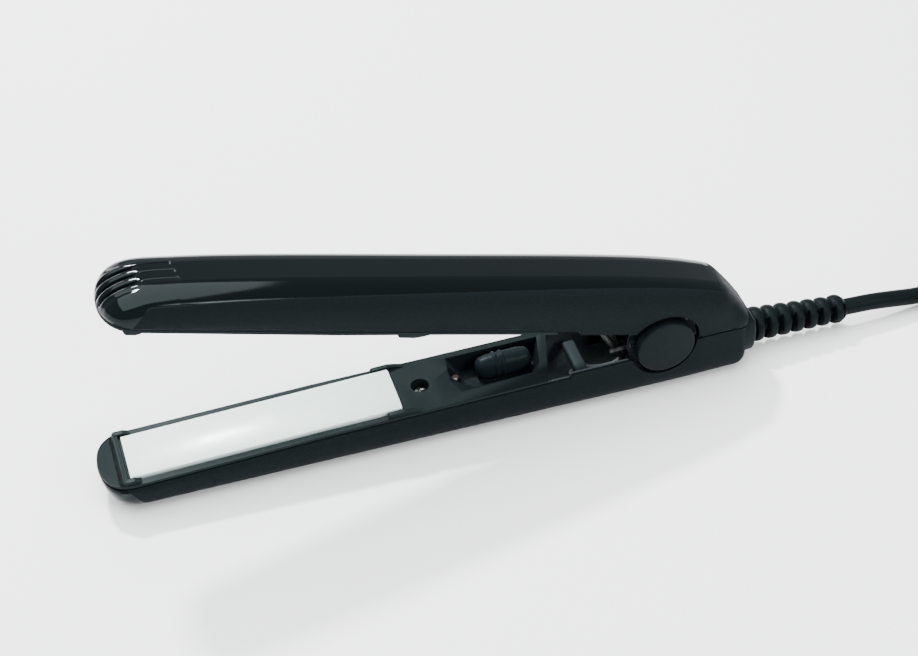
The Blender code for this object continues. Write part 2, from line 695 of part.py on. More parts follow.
def axis_ring(distance, radius, sides=18):
    middle = along_relief(distance)
    upright = Vector((sin(RELIEF_FALL), 0.0, cos(RELIEF_FALL)))
    turn = [2 * pi * k / sides for k in range(sides)]
    return [middle + radius * (Vector((0, 1, 0)) * cos(a) + upright * sin(a)) for a in turn]


def axis_cylinder(start, end, radius):
    return skin([axis_ring(start, radius), axis_ring(end, radius)])


def bead_radius(number):
    """The beads taper towards the cord, and the last one is a little larger."""
    taper = 4.75 - 0.16 * number
    return (taper + (0.15 if number == BEAD_COUNT - 1 else 0.0)) * MM


def strain_relief(look):
    stages = [(-9.0 * MM, 2.9 * MM), (-1.6 * MM, 2.9 * MM), (-1.5 * MM, 4.1 * MM),
              (-0.1 * MM, 4.3 * MM), (FIRST_BEAD - 2.4 * MM, 4.0 * MM)]
    for number in range(BEAD_COUNT):
        middle = FIRST_BEAD + number * BEAD_PITCH
        radius = bead_radius(number)
        neck = radius - 1.1 * MM
        stages.append((middle - 1.7 * MM, neck))
        stages.append((middle - 1.0 * MM, radius))
        stages.append((middle + 1.0 * MM, radius))
        stages.append((middle + 1.7 * MM, neck))
    stages[-1] = (RELIEF_LENGTH - 0.6 * MM, CORD_RADIUS + 0.9 * MM)
    return place("strain_relief", skin([axis_ring(d, r) for d, r in stages]), None, look)


def smooth_path(points, count):
    """Catmull-Rom curve through the points, read at even steps."""
    padded = [2 * points[0] - points[1]] + list(points) + [2 * points[-1] - points[-2]]
    dense = []
    for i in range(1, len(padded) - 2):
        a, b, c, d = padded[i - 1], padded[i], padded[i + 1], padded[i + 2]
        for k in range(20):
            t = k / 20
            dense.append(0.5 * ((2 * b) + (c - a) * t + (2 * a - 5 * b + 4 * c - d) * t ** 2
                                + (3 * b - a - 3 * c + d) * t ** 3))
    dense.append(Vector(points[-1]))
    lengths = [0.0]
    for first, second in zip(dense, dense[1:]):
        lengths.append(lengths[-1] + (second - first).length)
    picked = []
    j = 0
    for k in range(count):
        goal = lengths[-1] * k / (count - 1)
        while j < len(lengths) - 2 and lengths[j + 1] < goal:
            j += 1
        share = (goal - lengths[j]) / (lengths[j + 1] - lengths[j])
        picked.append(dense[j].lerp(dense[j + 1], min(max(share, 0.0), 1.0)))
    return picked


def cord_tube(name, points, count, look):
    line = bpy.data.curves.new(name, "CURVE")
    line.dimensions = "3D"
    line.bevel_depth = CORD_RADIUS
    line.bevel_resolution = 2
    line.use_fill_caps = True
    spline = line.splines.new("POLY")
    path = smooth_path([Vector(p) for p in points], count)
    spline.points.add(len(path) - 1)
    for point, spot in zip(spline.points, path):
        point.co = (*spot, 1.0)
    line.materials.append(look)
    piece = bpy.data.objects.new(name, line)
    bpy.context.collection.objects.link(piece)
    return piece


# The stretch between the iron and the hank, and the one from the top of the hank to the plug
CORD_ROUTE = [(0.1167, 0.0, 0.0062), (0.1250, 0.0, 0.0057), (0.1320, 0.0001, 0.0048),
              (0.1390, 0.0003, 0.0038), (0.1450, 0.0010, 0.0034)]
TAIL_ROUTE = [(0.2339, -0.0210, 0.0234), (0.2273, -0.0238, 0.0256), (0.2210, -0.0236, 0.0270),
              (0.2145, -0.0221, 0.0278), (0.2085, -0.0210, 0.0280), (0.2042, -0.0207, 0.0280)]


def hank_waist(x):
    """Half width of the winding's inner turn at x, drawn in by the tie at the middle."""
    return HANK_FOLD - HANK_WAIST_DROP / 2 * (1 + cos(pi * x / HANK_HALF_RUN))


def hank_place(turned, outward):
    """Where the winding is, a share 'turned' of a turn on from the start of its far side."""
    side, arc = 2 * HANK_HALF_RUN, pi * HANK_FOLD
    way = (turned % 1.0) * 2 * (side + arc)
    first = way < side + arc
    if not first:
        way -= side + arc
    if way < side:
        x = way - HANK_HALF_RUN
        slope = HANK_WAIST_DROP / 2 * pi / HANK_HALF_RUN * sin(pi * x / HANK_HALF_RUN)
        normal = Vector((-slope, 1.0, 0.0)).normalized()
        place_here = Vector((x, hank_waist(x), 0.0)) + normal * outward
    else:
        angle = pi / 2 - (way - side) / HANK_FOLD
        radius = HANK_FOLD + outward
        place_here = Vector((HANK_HALF_RUN + radius * cos(angle), radius * sin(angle), 0.0))
    if not first:
        place_here = -place_here
    return HANK_CENTRE + place_here


def cord_hank(look):
    """Closed solid with the outer shape of the folded, tied cord."""
    outward = TURN_PITCH + CORD_RADIUS + 0.2 * MM
    outline = [hank_place(k / 64, outward) for k in range(64)]
    edge = 1.0 * MM
    middle = HANK_CENTRE
    rings = []
    for z, drawn_in in ((HANK_BOTTOM, edge), (HANK_BOTTOM + edge, 0.0),
                        (HANK_TOP - edge, 0.0), (HANK_TOP, edge)):
        ring = []
        for point in outline:
            out = (point - middle).normalized()
            ring.append(point - out * drawn_in + Vector((0, 0, z)))
        rings.append(ring)
    return place("cord_hank", skin(rings), None, look)


def cord_tie(look):
    """Flat strap round the waist of the hank."""
    gap = FIT + 0.35 * MM
    half = hank_waist(0) + TURN_PITCH + CORD_RADIUS + 0.2 * MM + gap
    corner = 1.4 * MM
    low, high = HANK_BOTTOM - FIT, HANK_TOP + FIT
    made = bmesh.new()
    rows = []
    for x in (-TIE_WIDTH / 2, TIE_WIDTH / 2):
        for grow in (0.0, TIE_THICKNESS):
            row = []
            for k, (sign_y, sign_z) in enumerate(((1, 1), (-1, 1), (-1, -1), (1, -1))):
                for step in range(5):
                    angle = pi / 2 * (k + step / 4)
                    reach = corner + grow
                    y = sign_y * (half - corner) + reach * cos(angle)
                    z = (high - corner if sign_z > 0 else low + corner) + reach * sin(angle)
                    row.append(made.verts.new(HANK_CENTRE + Vector((x, y, z))))
            rows.append(row)
    inner_a, outer_a, inner_b, outer_b = rows
    count = len(inner_a)
    for i in range(count):
        j = (i + 1) % count
        for first, second in ((inner_a, outer_a), (outer_a, outer_b), (outer_b, inner_b),
                              (inner_b, inner_a)):
            made.faces.new((first[i], first[j], second[j], second[i]))
    return place("cord_tie", made, None, look)


PLUG_ROOT = Vector((0.2035, -0.0206, 0.0280))


def plug(looks):
    """Two-blade plug lying on the hank, its blades along -X."""
    stages = [(0.0, 3.2, 3.2), (9.6, 4.6, 4.4), (10.0, 6.0, 5.2), (12.0, 8.0, 6.0),
              (16.0, 9.6, 6.5), (22.0, 10.8, 6.75), (32.0, 11.4, 6.8), (33.4, 11.2, 6.6),
              (34.0, 10.4, 5.9)]
    rings = []
    for along, wide, high in stages:
        ring = []
        for k in range(24):
            angle = 2 * pi * (k + 0.5) / 24
            across = wide * abs(cos(angle)) ** 0.6 * (1 if cos(angle) > 0 else -1)
            up = high * abs(sin(angle)) ** 0.6 * (1 if sin(angle) > 0 else -1)
            ring.append(PLUG_ROOT + Vector((-along, across, up)) * MM)
        rings.append(ring)
    place("plug_body", skin(rings), None, looks["rubber"])
    for name, offset in (("plug_blade_a", -6.35), ("plug_blade_b", 6.35)):
        blade = bmesh.new()
        bmesh.ops.create_cube(blade, size=1.0)
        bmesh.ops.scale(blade, vec=Vector((17.0, 1.5, 6.3)) * MM, verts=blade.verts)
        middle = PLUG_ROOT + Vector((-34.3 - 8.5, offset, 0.0)) * MM
        bmesh.ops.translate(blade, vec=middle, verts=blade.verts)
        place(name, bevelled(blade, 0.3 * MM), None, looks["brass"])


# Heater leads that cross from the lower arm to the upper one, by the hinge (mm, arm coordinates)
CROSSING_LEAD = [(118.6, 9.2), (124.0, 11.8), (130.0, 12.3), (133.2, 9.4), (131.0, 5.0),
                 (128.6, 0.5), (125.5, -5.5), (121.0, -11.5), (114.0, -16.5)]


def crossing_leads(frame, look):
    for name, y, shift in (("heater_lead_a", 0.2, 0.0), ("heater_lead_b", -1.7, -1.6)):
        points = [(x + shift, y, depth) for x, depth in CROSSING_LEAD]
        lead(name, points, LOWER, frame, look)


def build():
    clear_scene()
    lower_frame = empty("lower_arm_frame", HINGE_PLACE, -ARM_TILT)
    upper_frame = empty("upper_arm_frame", HINGE_PLACE, OPEN_ANGLE - ARM_TILT)
    looks = {
        "casing": material("casing", (0.012, 0.013, 0.014), 0.35),
        "lid": material("lid", (0.02, 0.023, 0.024), 0.5),
        "ceramic": material("ceramic", (0.86, 0.92, 0.90), 0.25),
        "heat_proof": material("heat_proof", (0.35, 0.33, 0.3), 0.7),
        "kapton": material("heater_film", (0.45, 0.25, 0.08), 0.4),
        "steel": material("steel", (0.55, 0.55, 0.55), 0.35, 1.0),
        "black_part": material("black_part", (0.015, 0.015, 0.016), 0.4),
        "board": material("board", (0.05, 0.22, 0.1), 0.6),
        "lens": material("lens", (0.35, 0.02, 0.015), 0.2),
        "rubber": material("cord_rubber", (0.012, 0.012, 0.012), 0.5),
        "lead": material("lead", (0.6, 0.6, 0.58), 0.5),
        "strap": material("strap", (0.02, 0.02, 0.022), 0.8),
        "brass": material("brass", (0.6, 0.55, 0.4), 0.3, 1.0),
    }
    for word, side, frame in (("lower", LOWER, lower_frame), ("upper", UPPER, upper_frame)):
        shell(f"{word}_shell", side, frame, looks["casing"])
        lid(f"{word}_inner_cover", side, frame, looks["lid"])
        ceramic_plate(f"{word}_plate", side, frame, looks["ceramic"])
        heater(f"{word}_heater", side, frame, looks["kapton"])
        heater_clip(f"{word}_heater_clip", side, frame, looks["steel"])
        plate_carrier(f"{word}_plate_carrier", side, frame, looks["heat_proof"])
        turned_screw(f"{word}_cover_screw", SCREW_X, 0, 4.0 * MM, 2.1 * MM, 7.5 * MM, side,
                     frame, looks["steel"])
        heel(f"{word}_heel_block", side, frame, looks["black_part"])
    hinge_pin(lower_frame, looks["steel"])
    hinge_cap("hinge_cap_near", -1, lower_frame, looks["casing"])
    hinge_cap("hinge_cap_far", 1, lower_frame, looks["casing"])
    hinge_block(upper_frame, looks["black_part"])
    torsion_spring(lower_frame, looks["steel"])
    switch_knob(lower_frame, looks["black_part"])
    inner_parts(lower_frame, looks)
    crossing_leads(lower_frame, looks["lead"])
    strain_relief(looks["rubber"])
    cord_tube("power_cord", CORD_ROUTE, 5, looks["rubber"])
    cord_hank(looks["rubber"])
    cord_tie(looks["strap"])
    cord_tube("cord_tail", TAIL_ROUTE, 7, looks["rubber"])
    plug(looks)


build()
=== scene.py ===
"""Looks of a mini flat iron: polished and grained shells, ceramic plates, hinge, switch and cord.

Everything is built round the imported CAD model, in metres and in its frame.  Each arm is also
described in arm coordinates: x from the front end of its plate towards the hinge, y across,
and depth d from the face of the plate into the arm.
"""
import json
from math import acos, atan, cos, hypot, pi, radians, sin, sqrt
import bpy
import bmesh
from mathutils import Matrix, Vector

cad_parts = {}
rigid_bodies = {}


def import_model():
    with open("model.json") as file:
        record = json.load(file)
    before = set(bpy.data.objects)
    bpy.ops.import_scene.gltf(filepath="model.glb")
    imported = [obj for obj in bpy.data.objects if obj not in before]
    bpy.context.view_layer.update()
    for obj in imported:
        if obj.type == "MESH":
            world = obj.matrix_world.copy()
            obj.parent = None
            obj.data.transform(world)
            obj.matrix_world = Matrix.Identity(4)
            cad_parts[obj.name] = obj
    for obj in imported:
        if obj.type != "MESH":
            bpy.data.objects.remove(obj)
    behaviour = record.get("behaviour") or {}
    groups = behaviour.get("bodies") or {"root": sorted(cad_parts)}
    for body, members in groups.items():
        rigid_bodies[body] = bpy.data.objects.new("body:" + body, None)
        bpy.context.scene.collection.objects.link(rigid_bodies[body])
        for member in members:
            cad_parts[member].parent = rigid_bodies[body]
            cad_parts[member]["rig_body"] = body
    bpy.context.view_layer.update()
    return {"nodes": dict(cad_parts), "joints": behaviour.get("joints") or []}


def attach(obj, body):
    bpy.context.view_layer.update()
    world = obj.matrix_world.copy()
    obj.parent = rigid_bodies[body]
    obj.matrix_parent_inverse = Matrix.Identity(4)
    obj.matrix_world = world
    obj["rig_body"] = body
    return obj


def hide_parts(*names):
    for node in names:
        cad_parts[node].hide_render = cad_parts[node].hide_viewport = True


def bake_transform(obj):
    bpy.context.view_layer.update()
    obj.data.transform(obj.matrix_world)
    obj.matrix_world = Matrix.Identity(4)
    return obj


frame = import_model()

MM = 0.001
LOWER = -1
UPPER = 1
HINGE = Vector(frame["joints"][0]["pos_m"])
FLOOR_Z = 0.0

# Driving dimensions, as in the CAD model
HINGE_X = 140.35 * MM
OPEN_ANGLE = radians(19.4)
CROWN_AT_TIP = 11.8 * MM
CROWN_SLOPE = 0.039
ARM_TILT = atan(CROWN_SLOPE)
TIP_X = -7.3 * MM
REAR_X = 163.5 * MM
REAR_FALL_X = 154.3 * MM
REAR_FALL_SLOPE = 0.64
REAR_FALL_BEND = 1.5 * MM
LOWER_HEEL_ROUND = 3.5 * MM
SHELL_HALF_WIDTH = 10.0 * MM
RIM_HALF_WIDTH = 9.4 * MM
WALL = 1.2 * MM
SHOULDER = 9.0 * MM
SHOULDER_POWER = 2.8
SHOULDER_SHARE = 0.92
CROWN_LAND = 0.15 * MM
NOSE_PLAN_X = 1.2 * MM
NOSE_PLAN_POWER = 2.35
NOSE_SIDE_X = 5.0 * MM
NOSE_SIDE_POWER = 2.2
LID_THICKNESS = 0.8 * MM
FIT = 0.3 * MM
SHELL_STEP_X = 115.0 * MM
REAR_RIM_X = 151.0 * MM
REAR_RIM = {LOWER: 1.6 * MM, UPPER: 2.55 * MM}
REAR_RIM_SLOPE = {LOWER: 0.065, UPPER: 0.279}
REAR_CORNER = {LOWER: 3.0 * MM, UPPER: 5.0 * MM}
EAR_RADIUS = 9.4 * MM
EAR_INNER = 6.7 * MM
EAR_OUTER = 7.9 * MM
WINDOW_RADIUS = 9.7 * MM
CAP_RADIUS = 7.9 * MM
CAP_OUTER = 11.3 * MM
PIN_RADIUS = 1.9 * MM

# Grooves that wrap the nose and run on along the crown; on the nose they lean with it
GROOVES_Y = (-2.3 * MM, 0.45 * MM, 3.2 * MM)
GROOVE_WIDTH = 1.15 * MM
NOSE_LEAN = 1.4
GROOVE_END_X = (9.8 * MM, 9.6 * MM, 8.9 * MM)

# Points round a shell's section: evenly over the middle, then by angle round each shoulder
MIDDLE = 5.0 * MM
MIDDLE_STEPS = 72
SIDE_STEPS = 16

# Cord: its listed route up to the stored length and from there to the plug; the stored
# turns, each a column and a layer, and the shares of a turn between which it climbs
CORD_RADIUS = 2.3 * MM
TURN_PITCH = 4.65 * MM
HANK_CENTRE = Vector((0.1945, -0.0092, 0.0))
HANK_HALF_RUN = 27.6 * MM
HANK_FOLD = 13.8 * MM
HANK_WAIST_DROP = 6.7 * MM
HANK_BOTTOM = 3.45 * MM
HANK_TURNS = ((1, 0), (0, 0), (0, 1), (1, 1), (1, 2), (0, 2), (0, 3), (1, 3))
LAST_TURN = 0.366
CLIMB_FROM = 0.72
CLIMB_TO = 0.86
CORD_ROUTE = [(0.1167, 0.0, 0.0062), (0.1250, 0.0, 0.0057), (0.1320, 0.0001, 0.0048),
              (0.1390, 0.0003, 0.0038), (0.1450, 0.0010, 0.0034)]
JOINING_ROUTE = [(0.1525, 0.0034, 0.0034), (0.1600, 0.0067, 0.0034)]
TAIL_ROUTE = [(0.2400, -0.0092, 0.0186), (0.2388, -0.0160, 0.0208), (0.2339, -0.0210, 0.0234),
              (0.2273, -0.0238, 0.0256), (0.2210, -0.0236, 0.0270), (0.2145, -0.0221, 0.0278),
              (0.2085, -0.0210, 0.0280), (0.2030, -0.0206, 0.0280)]
PLUG_ROOT = Vector((0.2035, -0.0206, 0.0280))

# Strain relief, along its own axis from its root in the heel
RELIEF_ROOT = Vector((0.0868, 0.0, 0.00765))
RELIEF_FALL = radians(3.2)
BEAD_PITCH = 3.95 * MM
BEAD_COUNT = 7
FIRST_BEAD = 3.6 * MM
RELIEF_LENGTH = FIRST_BEAD + (BEAD_COUNT - 1) * BEAD_PITCH + 2.4 * MM


# ---------------------------------------------------------------- camera, light and floor

def camera():
    """Views the iron from its near side, well above it."""
    data = bpy.data.cameras.new("camera")
    data.sensor_width = 36.0
    data.lens = 76.0
    data.clip_start = 0.01
    eye = bpy.data.objects.new("camera", data)
    bpy.context.scene.collection.objects.link(eye)
    right = Vector((0.95457, -0.29760, -0.01488))
    up = Vector((0.21140, 0.64120, 0.73768))
    back = Vector((-0.20999, -0.70732, 0.67498))
    turn = Matrix((right, up, back)).transposed()
    eye.matrix_world = Matrix.Translation((-0.09545, -0.34614, 0.35997)) @ turn.to_4x4()
    bpy.context.scene.camera = eye


def area_light(name, spot, target, size, power):
    """Rectangular white light at 'spot' that faces 'target'."""
    data = bpy.data.lights.new(name, "AREA")
    data.shape = "RECTANGLE"
    data.size, data.size_y = size
    data.energy = power
    lamp = bpy.data.objects.new(name, data)
    bpy.context.scene.collection.objects.link(lamp)
    lamp.location = spot
    aim = Vector(target) - Vector(spot)
    lamp.rotation_euler = aim.to_track_quat("-Z", "Y").to_euler()


def room():
    """A white room that grows dimmer from the horizon up to its ceiling."""
    world = bpy.data.worlds.new("studio")
    world.use_nodes = True
    nodes, links = world.node_tree.nodes, world.node_tree.links
    height = nodes.new("ShaderNodeSeparateXYZ")
    links.new(nodes.new("ShaderNodeTexCoord").outputs["Generated"], height.inputs["Vector"])
    fade = nodes.new("ShaderNodeMapRange")
    fade.inputs["From Min"].default_value = 0.50
    fade.inputs["From Max"].default_value = 0.82
    fade.inputs["To Min"].default_value = 0.75
    fade.inputs["To Max"].default_value = 0.50
    links.new(height.outputs["Z"], fade.inputs["Value"])
    nodes["Background"].inputs["Color"].default_value = (0.96, 0.99, 1.0, 1.0)
    links.new(fade.outputs["Result"], nodes["Background"].inputs["Strength"])
    bpy.context.scene.world = world


def lighting():
    """One broad light overhead, and small ones for the highlights on the nose and shoulder."""
    room()
    middle, nose = (0.02, 0.0, 0.02), (-0.07, 0.0, 0.06)
    area_light("overhead", (-0.12, 0.02, 1.0), middle, (1.3, 1.3), 31.0)
    area_light("key", (-0.137, 0.60, 0.80), nose, (0.11, 0.08), 18.0)
    area_light("shoulder", (0.50, -0.64, 0.56), middle, (0.50, 0.20), 6.0)
    area_light("ridges", (-0.30, 0.80, 0.22), nose, (0.25, 0.10), 0.8)


def floor(look):
    """Plain ground that the iron lies on."""
    made = bmesh.new()
    bmesh.ops.create_grid(made, x_segments=2, y_segments=2, size=3.0)
    mesh = bpy.data.meshes.new("floor")
    made.to_mesh(mesh)
    made.free()
    mesh.materials.append(look)
    ground = bpy.data.objects.new("floor", mesh)
    ground.location.z = FLOOR_Z
    bpy.context.scene.collection.objects.link(ground)


# ---------------------------------------------------------------- materials

class Look:
    """A Principled material with helpers for procedural grain."""

    def __init__(self, name, colour, roughness, metallic=0.0):
        self.material = bpy.data.materials.new(name)
        self.material.use_nodes = True
        self.nodes = self.material.node_tree.nodes
        self.links = self.material.node_tree.links
        self.shader = self.nodes["Principled BSDF"]
        self.shader.inputs["Base Color"].default_value = (*colour, 1.0)
        self.shader.inputs["Roughness"].default_value = roughness
        self.shader.inputs["Metallic"].default_value = metallic

    def coordinates(self):
        return self.nodes.new("ShaderNodeTexCoord").outputs["Object"]

    def noise(self, size, detail=2.0, stretch=None):
        """Noise whose features are about 'size' across."""
        source = self.coordinates()
        if stretch:
            mapping = self.nodes.new("ShaderNodeMapping")
            mapping.inputs["Scale"].default_value = stretch
            self.links.new(source, mapping.inputs["Vector"])
            source = mapping.outputs["Vector"]
        texture = self.nodes.new("ShaderNodeTexNoise")
        texture.inputs["Scale"].default_value = 1.0 / size
        texture.inputs["Detail"].default_value = detail
        self.links.new(source, texture.inputs["Vector"])
        return texture.outputs["Fac"]

    def cells(self, size):
        texture = self.nodes.new("ShaderNodeTexVoronoi")
        texture.inputs["Scale"].default_value = 1.0 / size
        self.links.new(self.coordinates(), texture.inputs["Vector"])
        return texture.outputs["Distance"]

    def spread(self, value, low, high, to_low, to_high):
        """Map a range of one value onto another."""
        ramp = self.nodes.new("ShaderNodeMapRange")
        ramp.inputs["From Min"].default_value = low
        ramp.inputs["From Max"].default_value = high
        ramp.inputs["To Min"].default_value = to_low
        ramp.inputs["To Max"].default_value = to_high
        self.links.new(value, ramp.inputs["Value"])
        return ramp.outputs["Result"]

    def blend(self, share, first, second):
        """First where 'share' is 0 and second where it is 1."""
        mix = self.nodes.new("ShaderNodeMix")
        mix.data_type = "FLOAT"
        self.links.new(share, mix.inputs["Factor"])
        for name, value in (("A", first), ("B", second)):
            if isinstance(value, float):
                mix.inputs[name].default_value = value
            else:
                self.links.new(value, mix.inputs[name])
        return mix.outputs["Result"]

    def math(self, operation, first, second):
        node = self.nodes.new("ShaderNodeMath")
        node.operation = operation
        for socket, value in zip(node.inputs, (first, second)):
            if isinstance(value, (int, float)):
                socket.default_value = value
            else:
                self.links.new(value, socket)
        return node.outputs["Value"]

    def bump(self, height, distance, strength=1.0):
        node = self.nodes.new("ShaderNodeBump")
        node.inputs["Distance"].default_value = distance
        node.inputs["Strength"].default_value = strength
        self.links.new(height, node.inputs["Height"])
        self.links.new(node.outputs["Normal"], self.shader.inputs["Normal"])

    def vary_roughness(self, value, low, high):
        self.links.new(self.spread(value, 0.3, 0.7, low, high), self.shader.inputs["Roughness"])

    def mix_colour(self, share, first, second):
        """First colour where 'share' is 0 and second where it is 1."""
        mix = self.nodes.new("ShaderNodeMix")
        mix.data_type = "RGBA"
        self.links.new(share, mix.inputs["Factor"])
        for socket, value in ((mix.inputs[6], first), (mix.inputs[7], second)):
            if isinstance(value, tuple):
                socket.default_value = (*value, 1.0)
            else:
                self.links.new(value, socket)
        return mix.outputs[2]

    def vary_colour(self, value, low, high, dark, light):
        share = self.spread(value, low, high, 0.0, 1.0)
        self.links.new(self.mix_colour(share, dark, light), self.shader.inputs["Base Color"])


# The casing's colour on its grained sides and on its polished crown, and a paler colour on its inner
# surfaces that is painted light, standing in for the light that reaches inside the shell
CASING = (0.0034, 0.0056, 0.0063)
POLISHED = (0.0018, 0.0030, 0.0035)
INNER_PAINTED_LIGHT = (0.055, 0.070, 0.076)

# The mesh attribute 'polish' is 1 where polished, 0 where grained and this inside a shell
INSIDE = -1.0

# Strength and tint of the reflections of black plastic
MATT_SHINE = 0.045
GLOSS_SHINE = 0.14
SATIN_SHINE = 0.05
TINT = (0.80, 0.97, 1.0, 1.0)


def casing_look():
    """Polished crown, spark-grained sides, and inner surfaces painted paler as painted light inside
    the shell.
    """
    look = Look("casing", CASING, 0.3)
    look.shader.inputs["Specular Tint"].default_value = TINT
    mask_node = look.nodes.new("ShaderNodeAttribute")
    mask_node.attribute_name = "polish"
    mask = look.spread(mask_node.outputs["Fac"], 0.42, 0.58, 0.0, 1.0)
    grain = look.noise(0.34 * MM, 3.0)
    smudge = look.noise(14 * MM, 3.0)
    matt = look.spread(grain, 0.3, 0.7, 0.50, 0.64)
    gloss = look.spread(smudge, 0.3, 0.7, 0.05, 0.09)
    look.links.new(look.blend(mask, matt, gloss), look.shader.inputs["Roughness"])
    look.links.new(look.blend(mask, MATT_SHINE, GLOSS_SHINE), look.shader.inputs["Specular IOR Level"])
    outside = look.mix_colour(mask, CASING, POLISHED)
    # Inner surfaces get a paler colour: painted light, standing in for the light that reaches inside
    # the shell
    inside = look.spread(mask_node.outputs["Fac"], -0.8, -0.4, 1.0, 0.0)
    colour = look.mix_colour(inside, outside, INNER_PAINTED_LIGHT)
    look.links.new(colour, look.shader.inputs["Base Color"])
    height = look.math("MULTIPLY", grain, look.spread(mask, 0.0, 1.0, 1.0, 0.02))
    look.bump(height, 0.18 * MM, 0.9)
    return look.material


def grained_look(name, colour, roughness, grain_size=0.26 * MM, depth=0.07 * MM, strength=0.5):
    look = Look(name, colour, roughness)
    look.shader.inputs["Specular Tint"].default_value = TINT
    look.shader.inputs["Specular IOR Level"].default_value = SATIN_SHINE
    grain = look.noise(grain_size, 3.0)
    look.vary_roughness(grain, roughness - 0.06, roughness + 0.06)
    look.bump(grain, depth, strength)
    return look.material


def satin_look(name, colour, roughness):
    look = Look(name, colour, roughness)
    look.shader.inputs["Specular Tint"].default_value = TINT
    look.shader.inputs["Specular IOR Level"].default_value = SATIN_SHINE
    broad = look.noise(6 * MM, 4.0)
    fine = look.noise(0.12 * MM, 2.0)
    look.vary_roughness(broad, roughness - 0.05, roughness + 0.07)
    look.bump(fine, 0.01 * MM, 0.35)
    return look.material


def ceramic_look():
    look = Look("ceramic", (0.80, 0.88, 0.86), 0.28)
    cloud = look.noise(18 * MM, 3.0)
    look.vary_colour(cloud, 0.35, 0.65, (0.66, 0.80, 0.76), (0.69, 0.82, 0.785))
    look.vary_roughness(look.noise(5 * MM, 3.0), 0.22, 0.32)
    look.bump(look.noise(0.15 * MM, 2.0), 0.004 * MM, 0.3)
    return look.material


def metal_look(name, colour, roughness, stretch=None):
    look = Look(name, colour, roughness, 1.0)
    line = look.noise(0.2 * MM, 2.0, stretch)
    look.vary_roughness(line, roughness - 0.08, roughness + 0.1)
    look.bump(line, 0.01 * MM, 0.4)
    return look.material


def lens_look():
    look = Look("indicator_lens", (0.012, 0.005, 0.005), 0.12)
    look.shader.inputs["Coat Weight"].default_value = 0.5
    look.bump(look.cells(0.5 * MM), 0.02 * MM, 0.3)
    return look.material


def sleeve_look():
    """Woven glass-fibre sleeve of the heater leads."""
    look = Look("heater_lead", (0.14, 0.15, 0.14), 0.6)
    weave = look.cells(0.28 * MM)
    look.vary_colour(weave, 0.1, 0.6, (0.075, 0.088, 0.085), (0.03, 0.036, 0.034))
    look.bump(weave, 0.06 * MM, 0.6)
    return look.material


def board_look():
    look = Look("circuit_board", (0.02, 0.12, 0.05), 0.35)
    look.vary_colour(look.noise(2.5 * MM, 1.0), 0.48, 0.52, (0.015, 0.10, 0.045), (0.03, 0.18, 0.08))
    return look.material


def film_look():
    look = Look("heater_film", (0.42, 0.20, 0.05), 0.3)
    look.vary_roughness(look.noise(3 * MM, 3.0), 0.25, 0.4)
    return look.material


def floor_look():
    look = Look("floor", (0.93, 0.94, 0.94), 0.9)
    look.shader.inputs["Specular IOR Level"].default_value = 0.1
    return look.material


# ---------------------------------------------------------------- arm coordinates and mesh helpers

def arm_matrix(side):
    """From an arm's own frame, whose origin is on the hinge axis, to the model's frame."""
    angle = -ARM_TILT if side == LOWER else OPEN_ANGLE - ARM_TILT
    return Matrix.Translation(HINGE) @ Matrix.Rotation(angle, 4, "Y")


TO_ROW = {LOWER: arm_matrix(LOWER), UPPER: arm_matrix(UPPER)}
BODY = {LOWER: "lower_arm", UPPER: "upper_arm"}


def at(x, y, depth, side):
    """Arm coordinates to the model's frame."""
    return TO_ROW[side] @ Vector((x - HINGE_X, y, side * depth))


def skin(rings, capped=True, attribute=None):
    """Join equal rings of points into one closed surface; rings may carry a value per point."""
    made = bmesh.new()
    layer = made.verts.layers.float.new("polish") if attribute else None
    rows = []
    for number, ring in enumerate(rings):
        row = []
        for place, point in enumerate(ring):
            vert = made.verts.new(point)
            if layer:
                vert[layer] = attribute[number][place]
            row.append(vert)
        rows.append(row)
    count = len(rings[0])
    for first, second in zip(rows, rows[1:]):
        for i in range(count):
            j = (i + 1) % count
            made.faces.new((first[i], first[j], second[j], second[i]))
    if capped:
        made.faces.new(rows[0])
        made.faces.new(list(reversed(rows[-1])))
    return made


def piece(name, made, look, merge=0.002 * MM, smooth_angle=35.0):
    """Turn a bmesh into a named object."""
    if merge:
        bmesh.ops.remove_doubles(made, verts=made.verts, dist=merge)
    bmesh.ops.recalc_face_normals(made, faces=made.faces)
    mesh = bpy.data.meshes.new(name)
    made.to_mesh(mesh)
    made.free()
    mesh.shade_smooth()
    mesh.set_sharp_from_angle(angle=radians(smooth_angle))
    mesh.materials.append(look)
    obj = bpy.data.objects.new(name, mesh)
    bpy.context.scene.collection.objects.link(obj)
    return obj


def settle(obj):
    """Apply all modifiers of an object."""
    graph = bpy.context.evaluated_depsgraph_get()
    mesh = bpy.data.meshes.new_from_object(obj.evaluated_get(graph))
    obj.modifiers.clear()
    obj.data = mesh


def combine(obj, steps):
    """Add and cut helper shapes with exact Booleans, then remove the helpers."""
    helpers = []
    for operation, made in steps:
        helper = piece("helper", made, obj.data.materials[0])
        step = obj.modifiers.new("shape", "BOOLEAN")
        step.operation = operation
        step.solver = "EXACT"
        step.object = helper
        helpers.append(helper)
    settle(obj)
    for helper in helpers:
        bpy.data.objects.remove(helper, do_unlink=True)
    return obj


def round_edges(obj, width, segments=2, angle=30.0):
    """Bevel the edges that turn by more than 'angle'."""
    step = obj.modifiers.new("round", "BEVEL")
    step.width = width
    step.segments = segments
    step.limit_method = "ANGLE"
    step.angle_limit = radians(angle)
    step.miter_outer = "MITER_ARC"
    settle(obj)
    obj.data.shade_smooth()
    obj.data.set_sharp_from_angle(angle=radians(40))
    return obj


def box(x0, x1, y0, y1, d0, d1, side):
    """Block between two positions, two sides and two depths in an arm."""
    corners = []
    for x in (x0, x1):
        corners.append([at(x, y0, d0, side), at(x, y1, d0, side), at(x, y1, d1, side),
                        at(x, y0, d1, side)])
    return skin(corners)


